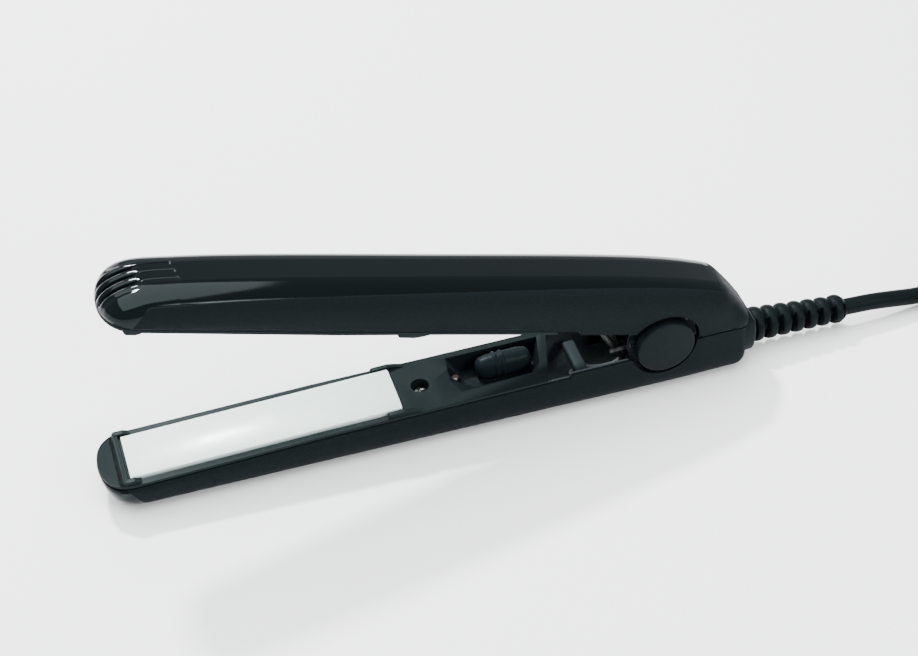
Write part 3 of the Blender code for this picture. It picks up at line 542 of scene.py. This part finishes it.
def cross_bar(radius, y0, y1, side, sides=96):
    """Round bar across an arm, on the hinge axis."""
    rings = []
    for y in (y0, y1):
        turn = [2 * pi * k / sides for k in range(sides)]
        rings.append([at(HINGE_X + radius * cos(a), y, radius * sin(a), side) for a in turn])
    return skin(rings)


def from_cad(node, look, width=0.0, segments=2, angle=30.0, sharp=None):
    """A copy of a CAD node with its edges rounded, which then stands for the node."""
    made = bmesh.new()
    made.from_mesh(frame["nodes"][node].data)
    bmesh.ops.remove_doubles(made, verts=made.verts, dist=0.002 * MM)
    bmesh.ops.dissolve_limit(made, angle_limit=radians(1.5), verts=made.verts, edges=made.edges)
    obj = piece(node + "_finished", made, look, merge=0)
    if width:
        round_edges(obj, width, segments, angle)
    if sharp:
        obj.data.set_sharp_from_angle(angle=radians(sharp))
    return obj


def adopt(obj, body, slot_name, *nodes):
    """Let a finished piece ride on its body in place of its CAD nodes."""
    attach(obj, body)
    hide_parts(*nodes)
    return obj


def bend(obj, node):
    """Bake a piece that crosses the hinge into place, on neither arm, and hide its CAD node."""
    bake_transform(obj)
    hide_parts(node)


# ---------------------------------------------------------------- shells

def mix_between(x, x0, x1, v0, v1):
    """v0 up to x0 and v1 from x1 on, in a straight line between them."""
    share = min(max((x - x0) / (x1 - x0), 0.0), 1.0)
    return v0 + (v1 - v0) * share


def smooth_step(share):
    return share * share * (3 - 2 * share)


def lid_depth(x):
    """Depth of the lid's face: level along the plate, then falling away to the hinge."""
    return mix_between(x, 50 * MM, 140 * MM, 1.3 * MM, 3.1 * MM)


def rim_depth(x, side):
    """Depth of the shell's rim, under the lid in front and at the rear cut behind."""
    if x < SHELL_STEP_X:
        return lid_depth(x) + LID_THICKNESS + FIT
    if x < HINGE_X:
        return lid_depth(x)
    start = REAR_RIM[side]
    if x < REAR_RIM_X:
        return mix_between(x, HINGE_X, REAR_RIM_X, lid_depth(HINGE_X), start)
    return start + (x - REAR_RIM_X) * REAR_RIM_SLOPE[side]


def quarter(x, start, reach, power=2.0):
    """1 inside the arm, falling to 0 over 'reach' before 'start'."""
    if x >= start:
        return 1.0
    share = min((start - x) / reach, 1.0)
    return (1.0 - share ** power) ** (1.0 / power)


def heel_fall(x, side):
    """How far the crown has fallen at the rear: a long chamfer above, a small round below."""
    if side == UPPER:
        past = x - REAR_FALL_X
        return REAR_FALL_SLOPE * (past + sqrt(past ** 2 + REAR_FALL_BEND ** 2)) / 2
    radius = LOWER_HEEL_ROUND
    start = REAR_X + 1.0 * MM - radius
    if x <= start:
        return 0.0
    return radius - sqrt(max(radius ** 2 - (x - start) ** 2, 0.0))


def side_swell(x):
    """How much wider the arm is than SHELL_HALF_WIDTH: fuller in front, drawn in at the rear."""
    return (mix_between(x, 0.0, 80 * MM, 0.55 * MM, 0.1 * MM)
            - mix_between(x, 142.8 * MM, 160 * MM, 0.0, 0.65 * MM))


def crown_at(x, side):
    """Depth of the crown along the middle of an arm; the upper one is arched lengthwise."""
    arch = 0.0
    if side == UPPER:
        arch = 0.85 * MM * (1 - abs((x - 75 * MM) / (65 * MM)) ** 5)
    return CROWN_AT_TIP + CROWN_SLOPE * x + arch


def section_size(x, inset, side, rim):
    """Half width, flare of the rim and crown depth at x."""
    plan = quarter(x, NOSE_PLAN_X, NOSE_PLAN_X - TIP_X - inset, NOSE_PLAN_POWER)
    corner = REAR_CORNER[side]
    corner_start = REAR_X + 1.5 * MM - corner
    narrowing = 0.0
    if x > corner_start:
        narrowing = corner - sqrt(max(corner ** 2 - (x - corner_start) ** 2, 0.0))
    half = (SHELL_HALF_WIDTH + side_swell(x) - inset) * plan - narrowing
    flare = (SHELL_HALF_WIDTH - RIM_HALF_WIDTH) * plan
    crown = crown_at(x, side) - inset - heel_fall(x, side)
    reach = NOSE_SIDE_X - TIP_X - inset
    crown = rim + (crown - rim) * quarter(x, NOSE_SIDE_X, reach, NOSE_SIDE_POWER)
    return half, flare, crown


def section_depth(y, half, crown, rim):
    """Depth of the outer surface at y: a superellipse with a flat land on the crown."""
    rise = min(SHOULDER, (crown - rim) * SHOULDER_SHARE)
    share = min(abs(y) / half, 1.0) if half > 0 else 1.0
    depth = crown - rise + rise * (1 - share ** SHOULDER_POWER) ** (1 / SHOULDER_POWER)
    return min(depth, max(crown - CROWN_LAND, rim))


def section_ys(half):
    """Sample places across a section: dense over the crown, by angle round the shoulder."""
    middle = min(MIDDLE, half * 0.55)
    edge_angle = acos(min(middle / half, 1.0) ** (SHOULDER_POWER / 2)) if half > 0 else 0.0
    side = []
    for k in range(SIDE_STEPS):
        angle = edge_angle * k / SIDE_STEPS
        side.append(half * cos(angle) ** (2 / SHOULDER_POWER))
    centre = [-middle + 2 * middle * k / MIDDLE_STEPS for k in range(MIDDLE_STEPS + 1)]
    return [-y for y in side] + centre + list(reversed(side))


def groove_depth(x, y):
    """How deep the nose grooves are cut at a point of the outer surface."""
    deepest = 0.0
    for middle, end in zip(GROOVES_Y, GROOVE_END_X):
        away = abs(y - middle)
        if x > end:
            away = hypot(y - middle, x - end)
        half = GROOVE_WIDTH / 2
        if away >= half:
            continue
        on_nose = 1.0 - mix_between(x, -0.3 * MM, 1.3 * MM, 0.0, 1.0)
        fade = mix_between(x, TIP_X, TIP_X + 0.9 * MM, 0.35, 1.0)
        depth = (0.24 + 0.62 * on_nose * fade) * MM
        wall = 0.13 * MM + 0.20 * MM * on_nose
        deepest = max(deepest, depth * min((half - away) / wall, 1.0))
    return deepest


def scallop(x, y):
    """Soft swelling of the ridges between the nose grooves."""
    pitch = GROOVES_Y[1] - GROOVES_Y[0]
    inside = mix_between(abs(y - GROOVES_Y[1]), 1.6 * pitch, 2.1 * pitch, 1.0, 0.0)
    on_nose = 1.0 - mix_between(x, -0.3 * MM, 1.6 * MM, 0.0, 1.0)
    wave = 0.5 - 0.5 * cos(2 * pi * (y - GROOVES_Y[0]) / pitch)
    return 0.30 * MM * (1 - wave) * inside * on_nose


def polish_at(x, y, depth, crown):
    """1 on the polished crown and nose, 0 on the grained sides, as a soft step 1 mm wide."""
    edge_y = mix_between(x, 5 * MM, 45 * MM, 9.3 * MM, 8.4 * MM)
    edge_y -= mix_between(x, 45 * MM, 160 * MM, 0.0, 2.2 * MM)
    on_crown = min(edge_y - abs(y), REAR_FALL_X - 1.5 * MM - x) / MM
    nose_edge = mix_between(crown - depth, 2 * MM, 11 * MM, 3.0 * MM, -3.0 * MM)
    on_nose = (nose_edge - x) / MM
    return min(max(0.5 + max(on_crown, on_nose), 0.0), 1.0)


def shell_stations(first, last):
    nose = [first + (NOSE_SIDE_X - first) * (1 - cos(pi / 2 * k / 34)) for k in range(35)]
    crown = [5.8, 6.8, 7.8, 8.3, 8.6, 8.8, 9.0, 9.15, 9.3, 9.45, 9.6, 9.75, 9.9, 10.05, 10.2,
             10.4, 11, 13, 17, 22, 30, 40, 50, 60, 70, 80, 90, 100, 108, 114.5, 115, 122, 130,
             135, 140.35, 145, 151]
    rear = [last - v * MM for v in (12, 11, 10, 9, 8, 7, 6, 5, 4.2, 3.5, 2.8, 2.2, 1.7, 1.2, 0.8,
                                    0.4, 0.15, 0.0)]
    return nose + [x * MM for x in crown] + [x for x in rear if x > 151.4 * MM]


def shell_skin(side, look):
    """Outer and inner surface of an arm's shell in one, with the share of polish at each point."""
    rings, values = [], []
    for x, x_in in zip(shell_stations(TIP_X, REAR_X), shell_stations(TIP_X + WALL, REAR_X)):
        rim = rim_depth(x, side)
        half, flare, crown = section_size(x, 0.0, side, rim)
        ring, shine = [at(x, -(half - flare), rim, side)], [polish_at(x, half, rim, crown)]
        for y in section_ys(half):
            depth = section_depth(y, half, crown, rim)
            cut = min(groove_depth(x, y) + scallop(x, y), max(depth - rim, 0.0) * 0.5)
            slope_x = (NOSE_SIDE_X - x) / (12 * MM) if x < NOSE_SIDE_X else 0.0
            tilt = atan(slope_x * NOSE_LEAN)
            ring.append(at(x + cut * sin(tilt), y, depth - cut * cos(tilt), side))
            shine.append(polish_at(x, y, depth, crown))
        ring.append(at(x, half - flare, rim, side))
        shine.append(polish_at(x, half, rim, crown))
        half, flare, crown = section_size(x_in, WALL, side, rim)
        inner = [at(x_in, -(half - flare), rim, side)]
        for y in section_ys(half):
            inner.append(at(x_in, y, section_depth(y, half, crown, rim), side))
        inner.append(at(x_in, half - flare, rim, side))
        rings.append(ring + list(reversed(inner)))
        values.append(shine + [INSIDE] * len(inner))
    name = "lower_shell_skin" if side == LOWER else "upper_shell_skin"
    return piece(name, skin(rings, attribute=values), look, smooth_angle=40)


def hinge_steps(side):
    """What the hinge adds to a shell and cuts from it: ears below, windows above."""
    steps = []
    for sign in (-1, 1):
        if side == LOWER:
            ys = sorted((sign * EAR_INNER, sign * EAR_OUTER))
            steps.append(("UNION", cross_bar(EAR_RADIUS, *ys, side)))
            ys = sorted((sign * (EAR_OUTER - 0.4 * MM), sign * 9.2 * MM))
            steps.append(("UNION", box(HINGE_X - 10.4 * MM, HINGE_X + 10.4 * MM, *ys,
                                       3.6 * MM, 11.5 * MM, side)))
            ys = sorted((sign * EAR_OUTER, sign * 12 * MM))
            steps.append(("DIFFERENCE", cross_bar(EAR_RADIUS, *ys, side)))
        else:
            ys = sorted((sign * EAR_OUTER, sign * 12 * MM))
            steps.append(("DIFFERENCE", cross_bar(WINDOW_RADIUS, *ys, side)))
    if side == LOWER:
        steps.append(("DIFFERENCE", cross_bar(PIN_RADIUS + FIT, -12 * MM, 12 * MM, side, 40)))
    return steps


def shell(side, look):
    obj = combine(shell_skin(side, look), hinge_steps(side))
    obj.data.shade_smooth()
    obj.data.set_sharp_from_angle(angle=radians(40))
    adopt(obj, BODY[side], "casing", "lower_shell" if side == LOWER else "upper_shell")


# ---------------------------------------------------------------- hinge caps

def hinge_cap(name, sign, look):
    """Flat disc with a rounded edge, very slightly domed."""
    base, top = EAR_OUTER + FIT, CAP_OUTER
    rounding, dome = 0.45 * MM, 0.3 * MM
    shoulder = top - rounding - dome
    stages = [(CAP_RADIUS - 0.3 * MM, base), (CAP_RADIUS - 0.02 * MM, base + 0.2 * MM),
              (CAP_RADIUS, shoulder)]
    for k in range(1, 7):
        angle = pi / 2 * k / 6
        stages.append((CAP_RADIUS - rounding * (1 - cos(angle)), shoulder + rounding * sin(angle)))
    for k in range(1, 9):
        share = k / 9
        stages.append(((CAP_RADIUS - rounding) * (1 - share), top - dome * (1 - share) ** 2))
    rings = []
    for radius, y in stages:
        turn = [2 * pi * k / 96 for k in range(96)]
        rings.append([at(HINGE_X + radius * cos(a), sign * y, radius * sin(a), LOWER)
                      for a in turn])
    adopt(piece(name + "_finished", skin(rings), look), "lower_arm", "casing", name)


# ---------------------------------------------------------------- strain relief and cord

def relief_point(distance, radius, angle):
    """A point round the relief's axis, 'distance' along it."""
    along = Vector((cos(RELIEF_FALL), 0.0, -sin(RELIEF_FALL)))
    upright = Vector((sin(RELIEF_FALL), 0.0, cos(RELIEF_FALL)))
    middle = RELIEF_ROOT + along * distance
    return middle + radius * (Vector((0, 1, 0)) * cos(angle) + upright * sin(angle))


def bead_radius(distance):
    """The beads taper towards the cord, and the last one is a little larger."""
    number = (distance - FIRST_BEAD) / BEAD_PITCH
    radius = 4.75 - 0.16 * min(max(number, 0.0), BEAD_COUNT - 1)
    if number > BEAD_COUNT - 1.5:
        radius += 0.15
    return radius * MM


def relief_radius(distance, angle):
    """Round rings joined along the top and bottom, with slots between them on both sides."""
    phase = (distance - FIRST_BEAD) / BEAD_PITCH
    away = abs(phase - round(phase)) * 2
    if round(phase) > BEAD_COUNT - 1:
        away = min((phase - BEAD_COUNT + 1) * 2, 1.0)
    radius = bead_radius(distance)
    facing = abs(cos(angle))
    slot = mix_between(facing, 0.50, 0.62, 0.0, 1.0)
    shallow = 1.35 * MM * (1.0 - sqrt(1.0 - (0.97 * away) ** 2))
    trench = mix_between(away, 0.50, 0.62, 0.0, 1.0)
    deep = 2.3 * MM * trench
    return radius - shallow - (deep - shallow * 0.3) * slot * trench


def strain_relief(look):
    """Collar in the heel, the ribbed part and a plain end round the cord."""
    sides = 72
    turn = [2 * pi * k / sides for k in range(sides)]
    rings = [[relief_point(-8.5 * MM, 2.85 * MM, a) for a in turn],
             [relief_point(-1.5 * MM, 2.85 * MM, a) for a in turn],
             [relief_point(-1.45 * MM, 4.1 * MM, a) for a in turn]]
    steps = 150
    start = FIRST_BEAD - BEAD_PITCH / 2
    end = FIRST_BEAD + (BEAD_COUNT - 1) * BEAD_PITCH + 1.4 * MM
    rings.append([relief_point(start - 0.3 * MM, 4.1 * MM, a) for a in turn])
    for k in range(steps + 1):
        distance = start + (end - start) * k / steps
        rings.append([relief_point(distance, relief_radius(distance, a), a) for a in turn])
    for distance, radius in ((end + 0.25 * MM, 3.35), (end + 0.6 * MM, 3.1), (RELIEF_LENGTH, 2.75)):
        rings.append([relief_point(distance, radius * MM, a) for a in turn])
    obj = piece("strain_relief_finished", skin(rings), look, smooth_angle=50)
    adopt(obj, "lower_arm", "cord_rubber", "strain_relief")


def smooth_path(points, spacing):
    """Catmull-Rom curve through the points, read about every 'spacing'."""
    points = [Vector(p) for p in points]
    padded = [2 * points[0] - points[1]] + points + [2 * points[-1] - points[-2]]
    path = []
    for i in range(1, len(padded) - 2):
        a, b, c, d = padded[i - 1], padded[i], padded[i + 1], padded[i + 2]
        count = max(int((c - b).length / spacing), 1)
        for k in range(count):
            t = k / count
            path.append(0.5 * ((2 * b) + (c - a) * t + (2 * a - 5 * b + 4 * c - d) * t ** 2
                               + (3 * b - a - 3 * c + d) * t ** 3))
    path.append(points[-1])
    return path


def hank_waist(x):
    """Half width of the winding's inner turn at x, drawn in by the tie at the middle."""
    return HANK_FOLD - HANK_WAIST_DROP / 2 * (1 + cos(pi * x / HANK_HALF_RUN))


def hank_place(turned, outward):
    """Where the winding is, a share 'turned' of a turn on from the start of its far side."""
    side, arc = 2 * HANK_HALF_RUN, pi * HANK_FOLD
    way = (turned % 1.0) * 2 * (side + arc)
    first = way < side + arc
    if not first:
        way -= side + arc
    if way < side:
        x = way - HANK_HALF_RUN
        slope = HANK_WAIST_DROP / 2 * pi / HANK_HALF_RUN * sin(pi * x / HANK_HALF_RUN)
        normal = Vector((-slope, 1.0, 0.0)).normalized()
        spot = Vector((x, hank_waist(x), 0.0)) + normal * outward
    else:
        angle = pi / 2 - (way - side) / HANK_FOLD
        radius = HANK_FOLD + outward
        spot = Vector((HANK_HALF_RUN + radius * cos(angle), radius * sin(angle), 0.0))
    if not first:
        spot = -spot
    return HANK_CENTRE + spot


def hank_points():
    """Turns two side by side and four high; each climbs first and then changes column."""
    points = []
    steps = 30
    for number, (column, layer) in enumerate(HANK_TURNS):
        last = number == len(HANK_TURNS) - 1
        next_column, next_layer = HANK_TURNS[number + (0 if last else 1)]
        for k in range(int(steps * LAST_TURN) if last else steps):
            turned = k / steps
            climb = smooth_step(mix_between(turned, CLIMB_FROM, CLIMB_TO, 0.0, 1.0))
            change = smooth_step(mix_between(turned, CLIMB_TO, 1.0, 0.0, 1.0))
            outward = TURN_PITCH * (column + (next_column - column) * change)
            height = HANK_BOTTOM + TURN_PITCH * (layer + (next_layer - layer) * climb)
            points.append(hank_place(turned, outward) + Vector((0, 0, height)))
    return points


def power_cord(look):
    """The whole cord on one line: relief, floor, hank, and up to the plug on the hank."""
    axis = Vector((cos(RELIEF_FALL), 0, -sin(RELIEF_FALL)))
    inside = [RELIEF_ROOT + axis * (RELIEF_LENGTH - 1 * MM)]
    route = inside + CORD_ROUTE[1:] + JOINING_ROUTE + hank_points() + TAIL_ROUTE
    line = bpy.data.curves.new("mains_lead", "CURVE")
    line.dimensions = "3D"
    line.bevel_depth = CORD_RADIUS
    line.bevel_resolution = 6
    line.use_fill_caps = True
    path = smooth_path(route, 2.2 * MM)
    spline = line.splines.new("POLY")
    spline.points.add(len(path) - 1)
    for point, spot in zip(spline.points, path):
        point.co = (*spot, 1.0)
    line.materials.append(look)
    obj = bpy.data.objects.new("mains_lead", line)
    bpy.context.scene.collection.objects.link(obj)
    adopt(obj, "lower_arm", "cord_rubber", "power_cord", "cord_hank", "cord_tail")
    length = sum((b - a).length for a, b in zip(path, path[1:]))
    return obj, path[0], length


def plug(look):
    """Moulded two-blade plug: ribbed neck, waisted grip and a flat front."""
    stages = [(0.0, 3.2, 3.2, 1.0)]
    for k in range(4):
        start = 0.9 + 2.2 * k
        wide = 3.5 + 0.32 * k
        stages += [(start, wide, wide, 1.0), (start + 1.25, wide, wide, 1.0),
                   (start + 1.45, wide - 0.6, wide - 0.6, 1.0),
                   (start + 2.0, wide - 0.6, wide - 0.6, 1.0)]
    stages += [(10.0, 5.6, 5.0, 0.8), (11.5, 7.5, 5.8, 0.65), (14.0, 8.7, 6.3, 0.6),
               (17.0, 9.6, 6.5, 0.58), (21.0, 10.4, 6.65, 0.55), (26.0, 11.1, 6.75, 0.55),
               (31.0, 11.35, 6.75, 0.55), (33.0, 11.3, 6.65, 0.55), (33.7, 11.0, 6.35, 0.55),
               (34.0, 10.4, 5.8, 0.55)]
    rings = []
    for along, wide, high, power in stages:
        ring = []
        for k in range(72):
            angle = 2 * pi * (k + 0.5) / 72
            across = wide * abs(cos(angle)) ** power * (1 if cos(angle) > 0 else -1)
            up = high * abs(sin(angle)) ** power * (1 if sin(angle) > 0 else -1)
            ring.append(PLUG_ROOT + Vector((-along, across, up)) * MM)
        rings.append(ring)
    obj = piece("plug_body_finished", skin(rings), look, smooth_angle=50)
    return adopt(obj, "lower_arm", "cord_rubber", "plug_body")


# ---------------------------------------------------------------- putting it together

def make_looks():
    """The materials, by name."""
    return {
        "shell": casing_look(),
        "grained": grained_look("casing_grain", CASING, 0.45, 0.26 * MM, 0.12 * MM, 0.7),
        "cover": grained_look("cover", (0.0062, 0.0098, 0.0105), 0.40, 0.3 * MM, 0.03 * MM, 0.4),
        "inner_black": satin_look("inner_black", (0.020, 0.027, 0.030), 0.45),
        "knob": satin_look("knob", (0.008, 0.0125, 0.015), 0.36),
        "rubber": satin_look("cord_rubber", (0.0024, 0.0040, 0.0042), 0.46),
        "ceramic": ceramic_look(),
        "steel": metal_look("steel", (0.45, 0.46, 0.46), 0.3, (0.2, 1.0, 1.0)),
        "dark_steel": metal_look("screw_steel", (0.12, 0.13, 0.13), 0.35),
        "blade_metal": metal_look("blade_metal", (0.62, 0.58, 0.48), 0.22, (0.15, 1.0, 1.0)),
        "heat_proof": grained_look("heat_proof", (0.30, 0.29, 0.26), 0.7, 0.2 * MM, 0.03 * MM),
        "sleeve": sleeve_look(),
        "strap": grained_look("strap", (0.02, 0.02, 0.022), 0.85, 0.25 * MM, 0.1 * MM),
        "film": film_look(),
        "board": board_look(),
        "lens": lens_look(),
    }


def cord_set(looks):
    """Strain relief, cord, the strap that ties it, and the plug with its blades."""
    lead, exit_point, length = power_cord(looks["rubber"])
    strain_relief(looks["rubber"])
    plug_piece = plug(looks["rubber"])
    for name in ("plug_blade_a", "plug_blade_b"):
        blade = from_cad(name, looks["blade_metal"], 0.12 * MM, 3)
        adopt(blade, "lower_arm", "brass", name)
    tie = from_cad("cord_tie", looks["strap"], 0.1 * MM)
    adopt(tie, "lower_arm", "strap", "cord_tie")


def arm_pieces(side, looks):
    """The pieces that both arms have: node, look, slot and width of the rounded edges."""
    word = "lower" if side == LOWER else "upper"
    for node, look, slot_name, width in (
            ("inner_cover", "cover", "cover", 0.10 * MM),
            ("plate", "ceramic", "ceramic", 0.12 * MM),
            ("plate_carrier", "heat_proof", "heat_proof", 0.2 * MM),
            ("heater", "film", "heater_film", 0.1 * MM),
            ("heater_clip", "steel", "steel", 0.0),
            ("cover_screw", "dark_steel", "screw_steel", 0.06 * MM),
            ("heel_block", "grained", "satin_black", 0.25 * MM)):
        name = f"{word}_{node}"
        if node == "inner_cover":
            obj = from_cad(name, looks[look], width, angle=14.0, sharp=24.0)
        else:
            obj = from_cad(name, looks[look], width)
        adopt(obj, BODY[side], slot_name, name)


def single_pieces(looks):
    """The pieces that the iron has once, each on the body of its own CAD node."""
    for node, look, slot_name, width in (
            ("switch_knob", "knob", "knob", 0.1 * MM),
            ("slide_switch_body", "inner_black", "satin_black", 0.1 * MM),
            ("cord_clamp", "inner_black", "satin_black", 0.1 * MM),
            ("circuit_board", "board", "board", 0.05 * MM),
            ("thermal_fuse", "steel", "steel", 0.15 * MM),
            ("indicator_lens", "lens", "lens", 0.3 * MM),
            ("hinge_pin", "steel", "steel", 0.2 * MM),
            ("upper_hinge_block", "inner_black", "satin_black", 0.15 * MM)):
        body = frame["nodes"][node]["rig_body"]
        adopt(from_cad(node, looks[look], width), body, slot_name, node)


def crossing_pieces(looks):
    """The spring round the hinge and the leads beside it, baked in place on neither arm."""
    spring = from_cad("torsion_spring", looks["steel"])
    bend(spring, "torsion_spring")
    for node in ("heater_lead_a", "heater_lead_b"):
        bend(from_cad(node, looks["sleeve"]), node)


def build():
    camera()
    lighting()
    floor(floor_look())
    looks = make_looks()
    cord_set(looks)
    for side in (LOWER, UPPER):
        shell(side, looks["shell"])
    hinge_cap("hinge_cap_near", -1, looks["grained"])
    hinge_cap("hinge_cap_far", 1, looks["grained"])
    for side in (LOWER, UPPER):
        arm_pieces(side, looks)
    single_pieces(looks)
    crossing_pieces(looks)


build()
